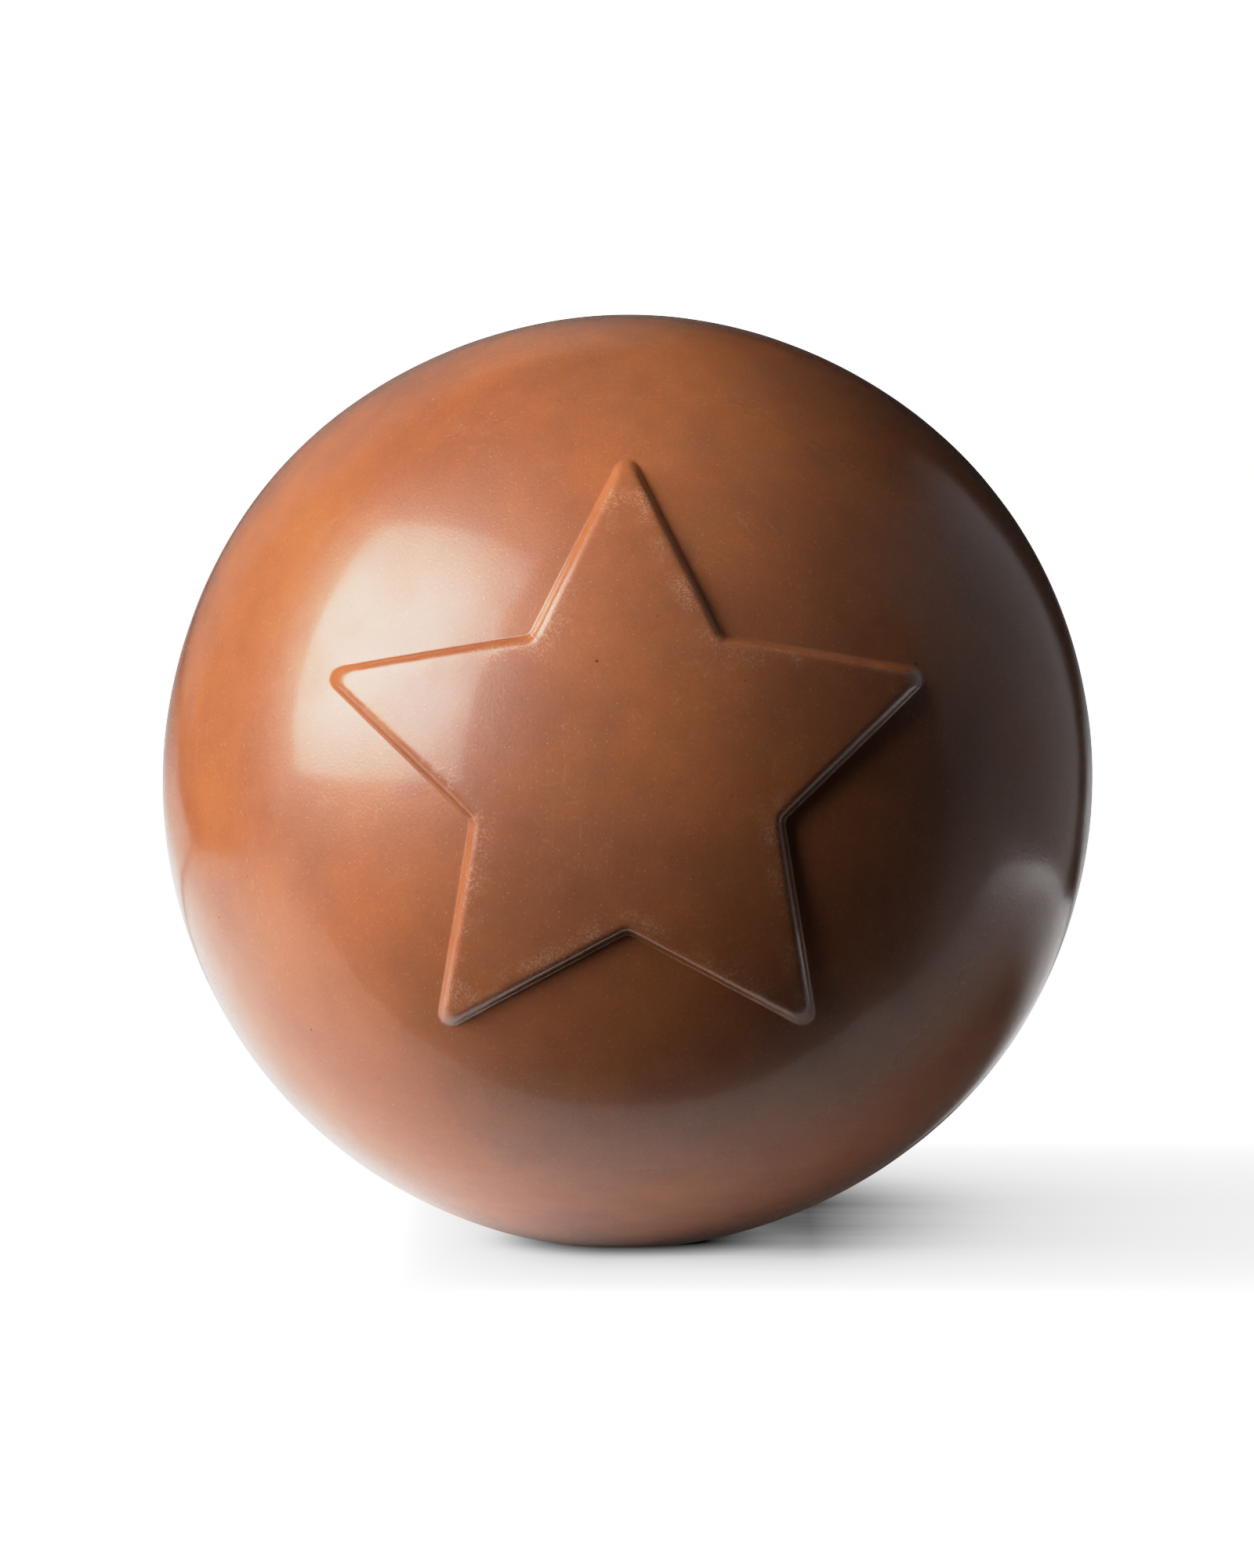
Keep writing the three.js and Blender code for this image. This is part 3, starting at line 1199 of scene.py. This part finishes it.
@dataclass(frozen=True)
class StudioWhite:
    """The white of the floor.

    It lights the ball with a little glow of its own, stronger on both sides. The camera sees clean
    paper with a soft band of shadow that runs from the ball to the right.
    """

    name: str
    albedo: float = 0.87
    glow: float = 0.02
    left_glow: float = 0.10
    left_span: Span = (-0.06, -0.015)
    right_glow: float = 0.85
    right_span: Span = (0.085, 0.125)
    far_left_share: float = 0.5
    far_left_span: Span = (-0.13, -0.05)
    paper_white: float = 2.0
    shadow_depth: float = 0.95
    shadow_start: float = 0.012
    shadow_length: float = 0.014
    shadow_power: float = 0.45
    shadow_left: Span = (-0.0145, -0.001)
    shadow_front: Span = (-0.026, 0.003)
    shadow_front_share: float = 0.7
    shadow_lean: Span = (-0.020, 0.024)
    shadow_back: Span = (0.018, 0.054)
    contact_depth: float = 0.3
    contact_span: Span = (0.003, 0.011)

    def dress(self, piece: bpy.types.Object) -> None:
        """Makes the material and puts it on a board.

        Args:
            piece: a board of the floor.
        """
        material = bpy.data.materials.new(self.name)
        material.use_nodes = True
        sketch = Sketch(material.node_tree)
        seen = sketch.node("ShaderNodeLightPath", {}).outputs["Is Camera Ray"]
        place = sketch.node("ShaderNodeTexCoord", {}).outputs["Object"]
        axes = sketch.node("ShaderNodeSeparateXYZ", {0: place}).outputs
        lighting = self.lighting(sketch, axes["X"])
        shown = self.shown(sketch, place, axes["X"], axes["Y"])
        surface = sketch.node("ShaderNodeMixShader", {0: seen, 1: lighting, 2: shown}).outputs[0]
        sketch.node("ShaderNodeOutputMaterial", {"Surface": surface})
        piece.data.materials.append(material)

    def lighting(self, sketch: Sketch, across: Socket) -> Socket:
        """What the ball sees: a matt white with its glow, both weaker far to the left.

        Args:
            sketch: the material's tree.
            across: X in metres, to the right of the contact.

        Returns:
            A shader.
        """
        left = sketch.ramp(across, *self.left_span, self.left_glow, 0.0)
        right = sketch.ramp(across, *self.right_span, 0.0, self.right_glow)
        glow = sketch.math("ADD", sketch.math("ADD", left, right), self.glow)
        share = sketch.ramp(across, *self.far_left_span, self.far_left_share, 1.0)
        colour = sketch.grey(sketch.product(share, self.albedo))
        lit = sketch.node("ShaderNodeBsdfDiffuse", {"Color": colour}).outputs[0]
        strength = sketch.product(share, glow)
        glowing = sketch.node("ShaderNodeEmission", {"Strength": strength}).outputs[0]
        return sketch.node("ShaderNodeAddShader", {0: lit, 1: glowing}).outputs[0]

    def shown(self, sketch: Sketch, place: Socket, across: Socket, behind: Socket) -> Socket:
        """What the camera sees: paper white, less the shadow.

        The shadow starts left of the contact, and falls off to the right as an exponential. It
        fades to the front and to the back, is darkest close round the contact, and has faint
        level streaks.

        Args:
            sketch: the material's tree.
            place: position in metres.
            across: its X, to the right of the contact.
            behind: its Y, away from the camera.

        Returns:
            A shader that glows as the lit paper would.
        """
        past = sketch.math("MAXIMUM", sketch.math("SUBTRACT", across, self.shadow_start), 0.0)
        stretched = sketch.vector("MULTIPLY", place, (30.0, 150.0, 1.0))
        shadow = sketch.product(
            sketch.ramp(across, *self.shadow_left),
            self.shadow_depth,
            sketch.math("EXPONENT", sketch.math("DIVIDE", past, -self.shadow_length)),
            sketch.ramp(behind, *self.shadow_front),
            sketch.ramp(behind, *self.shadow_lean, self.shadow_front_share, 1.0),
            sketch.ramp(behind, *self.shadow_back, 1.0, 0.0),
            sketch.ramp(sketch.noise(stretched, scale=1.0, detail=2), 0.3, 0.7, 0.95, 1.03),
        )
        distance = sketch.measure("LENGTH", place)
        contact = sketch.ramp(distance, *self.contact_span, self.contact_depth, 0.0)
        shadow = sketch.math("MINIMUM", sketch.math("ADD", shadow, contact), 1.0)
        shadow = sketch.math("POWER", shadow, self.shadow_power)
        paper = sketch.product(sketch.math("SUBTRACT", 1.0, shadow), self.paper_white)
        return sketch.node("ShaderNodeEmission", {"Strength": paper}).outputs[0]


# ---- The studio --------------------------------------------------------------------------------


@dataclass(frozen=True)
class SoftPanel:
    """A glowing rectangle that stands in the studio and isn't seen directly.

    Its glow can fade across its width and its height. A fade is a pair of shares of that side,
    from the side's left or lower end, where the glow is full and where it is gone.
    """

    name: str
    centre: Triple
    faces: Triple
    width: float
    height: float
    radiance: float
    fades_across: tuple[Span, ...] = ()
    fades_up: tuple[Span, ...] = ()

    def build(self) -> bpy.types.Object:
        """Makes the light, upright and shining along `faces`.

        Its power is the radiance times pi times its area.

        Returns:
            The light's object, linked to the scene.
        """
        light = bpy.data.lights.new(self.name, "AREA")
        light.shape = "RECTANGLE"
        light.size = self.width
        light.size_y = self.height
        light.energy = self.radiance * math.pi * self.width * self.height
        self.fade(light)
        panel = bpy.data.objects.new(self.name, light)
        panel.location = self.centre
        panel.rotation_euler = Vector(self.faces).to_track_quat("-Z", "Y").to_euler()
        panel.visible_camera = False
        bpy.context.scene.collection.objects.link(panel)
        return panel

    def fade(self, light: bpy.types.Light) -> None:
        """Gives the light its fades, by the place on it from which a ray comes.

        Args:
            light: the light.
        """
        light.use_nodes = True
        sketch = Sketch(light.node_tree)
        place = sketch.node("ShaderNodeNewGeometry", {}).outputs["Parametric"]
        axes = sketch.node("ShaderNodeSeparateXYZ", {0: place}).outputs
        shares = []
        for axis, fades in ((axes["X"], self.fades_across), (axes["Y"], self.fades_up)):
            for full, gone in fades:
                ends = (1.0, 0.0) if full < gone else (0.0, 1.0)
                shares.append(sketch.ramp(axis, *sorted((full, gone)), *ends))
        glow = sketch.node("ShaderNodeEmission", {"Strength": sketch.product(*shares)})
        sketch.node("ShaderNodeOutputLight", {0: glow.outputs[0]})


@dataclass(frozen=True)
class Studio:
    """Pale floor, soft light and a white background, set round the ball."""

    ball_height: float
    platform_front: Points = (
        (-0.166, -0.019),
        (-0.037, -0.025),
        (0.031, -0.025),
        (0.100, -0.005),
        (0.131, 0.015),
    )
    platform_back: Points = (
        (0.137, 0.037),
        (0.126, 0.063),
        (0.109, 0.080),
        (0.082, 0.098),
        (0.068, 0.135),
        (-0.133, 0.115),
        (-0.144, 0.052),
    )
    back_floor: Points = (
        (0.060, 0.150),
        (0.117, 0.235),
        (0.152, 0.360),
        (0.257, 0.640),
        (0.410, 1.230),
        (0.700, 2.400),
        (-1.400, 2.400),
        (-0.633, 1.050),
        (-0.254, 0.360),
        (-0.142, 0.126),
    )
    apron_reach: float = 1.3
    apron_drop: float = 0.02 * MM
    room_light: float = 0.015
    background_light: float = 3.0
    film_shoulder: tuple[Span, ...] = (
        (0.25, 0.25),
        (0.66, 0.66),
        (0.80, 0.745),
        (0.95, 0.80),
        (1.10, 0.84),
        (1.30, 0.875),
        (1.60, 0.92),
    )
    film_end: Span = (2.0, 1.0)

    def panels(self) -> list[SoftPanel]:
        """The lights: a large softbox on the left and two dim walls."""
        lift = self.ball_height
        return [
            SoftPanel(
                "key softbox",
                centre=(-0.423, -0.139, 0.257 + lift),
                faces=(0.700, 0.587, -0.407),
                width=0.51,
                height=0.515,
                radiance=12.0,
                fades_across=((0.30, -0.45), (0.60, 1.60)),
                fades_up=((0.30, -0.45), (0.48, 1.45)),
            ),
            SoftPanel(
                "dim back wall",
                centre=(-0.55, 1.5, 0.70),
                faces=(0.0, -1.0, 0.0),
                width=1.5,
                height=1.3,
                radiance=0.17,
                fades_across=((0.25, 0.0),),
            ),
            SoftPanel(
                "dim wall",
                centre=(1.0, 0.815, 0.275),
                faces=(-1.0, 0.0, 0.0),
                width=1.81,
                height=1.75,
                radiance=0.20,
                fades_up=((0.72, 1.0),),
            ),
        ]

    def floor(self) -> list[bpy.types.Object]:
        """The floor: two boards that light the ball, and an apron that only the camera sees."""
        platform = sheet("studio platform", self.platform_front + self.platform_back, 0.0)
        StudioWhite("studio platform white").dress(platform)
        behind = sheet("studio back floor", self.back_floor, 0.0)
        white = StudioWhite("studio back floor white", albedo=0.75, left_glow=0.34, right_glow=0.0)
        white.dress(behind)
        reach = self.apron_reach
        square = ((-reach, -reach), (reach, -reach), (reach, reach), (-reach, reach))
        apron = sheet("studio apron", square, -self.apron_drop)
        StudioWhite("studio apron white").dress(apron)
        for board in (platform, behind):
            board.visible_camera = False
            board.visible_shadow = False
        apron.visible_diffuse = False
        apron.visible_glossy = False
        apron.visible_transmission = False
        apron.visible_shadow = False
        return [platform, behind, apron]

    def world(self) -> None:
        """A room that is dark all round, and white where the camera looks past the floor."""
        world = bpy.data.worlds.new("studio room")
        world.use_nodes = True
        sketch = Sketch(world.node_tree)
        seen = sketch.node("ShaderNodeLightPath", {}).outputs["Is Camera Ray"]
        more = self.background_light - self.room_light
        strength = sketch.math("MULTIPLY_ADD", seen, more, self.room_light)
        room = sketch.node("ShaderNodeBackground", {"Strength": strength})
        sketch.node("ShaderNodeOutputWorld", {"Surface": room.outputs[0]})
        bpy.context.scene.world = world

    def film(self) -> None:
        """The film's response: straight up to the mid tones, with a shoulder for the lights."""
        settings = bpy.context.scene.view_settings
        settings.view_transform = "Standard"
        settings.use_curve_mapping = True
        mapping = settings.curve_mapping
        mapping.clip_max_x = self.film_end[0]
        curve = mapping.curves[3]
        curve.points[1].location = self.film_end
        for scene_light, shown in self.film_shoulder:
            curve.points.new(scene_light, shown)
        mapping.update()

    def build(self) -> None:
        """Sets up floor, lights, room and film."""
        for piece in self.floor():
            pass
        for panel in self.panels():
            panel.build()
        self.world()
        self.film()


def sheet(name: str, outline: Points, height: float) -> bpy.types.Object:
    """Makes a level face that faces up.

    Args:
        name: name of the object.
        outline: its corners, anticlockwise seen from above.
        height: how high it lies.

    Returns:
        The object, linked to the scene.
    """
    vertices = np.column_stack([np.array(outline), np.full(len(outline), height)])
    return mesh_object(name, vertices, [np.arange(len(outline))[None, :]])


@dataclass(frozen=True)
class PhotoCamera:
    """The photograph's view: how far away and how high the camera was, and its frame."""

    ball_centre: Vector
    ball_radius: float
    distance: float = 0.70
    elevation: float = math.radians(4.8)
    frame_pixels: tuple[int, int] = (1600, 2000)
    centre_pixel: tuple[float, float] = (800.2, 995.7)
    radius_pixels: float = 593.9
    sensor: float = 36.0

    def build(self) -> bpy.types.Object:
        """Makes the scene's camera, aimed so that the ball falls where the photograph has it.

        The ball's outline is where sight lines touch it, at an angle from its centre whose sine
        is the radius over the distance. That angle and the outline's pixels give the lens.

        Returns:
            The camera.
        """
        back = Vector((0, -math.cos(self.elevation), math.sin(self.elevation)))
        up = Vector((0, math.sin(self.elevation), math.cos(self.elevation)))
        scale = self.ball_radius / self.radius_pixels
        width, height = self.frame_pixels
        aside = (width / 2 - self.centre_pixel[0]) * scale
        above = (self.centre_pixel[1] - height / 2) * scale
        aim = self.ball_centre + aside * Vector((1, 0, 0)) + above * up
        sight = math.tan(math.asin(self.ball_radius / self.distance))
        focal_pixels = self.radius_pixels / sight
        data = bpy.data.cameras.new("photo camera")
        data.sensor_width = self.sensor
        data.lens = self.sensor * focal_pixels / height
        data.clip_start = 0.01
        data.clip_end = 20.0
        camera = bpy.data.objects.new("photo camera", data)
        camera.location = aim + self.distance * back
        camera.rotation_euler = (-back).to_track_quat("-Z", "Y").to_euler()
        bpy.context.scene.collection.objects.link(camera)
        bpy.context.scene.camera = camera
        return camera


# ---- Putting it together -----------------------------------------------------------------------


def main() -> None:
    """Builds the ball, dresses it, sets the studio round it and reports each piece."""
    logging.basicConfig(level=logging.INFO, format="%(name)s: %(message)s")
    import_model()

    ball = MouldedBall()
    piece = ball.build("moulded_chocolate_ball")
    centre = Vector((0, 0, ball.centre_height))
    MilkChocolate(centre).dress(piece)
    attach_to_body(piece, "root")
    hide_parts("chocolate_ball")
    mesh = piece.data
    log.info("%s: %d vertices, %d faces", piece.name, len(mesh.vertices), len(mesh.polygons))

    PhotoCamera(centre, ball.radius).build()
    Studio(ball.centre_height).build()
    log.info("studio: floor, lights, camera")


if __name__ == "__main__":
    main()
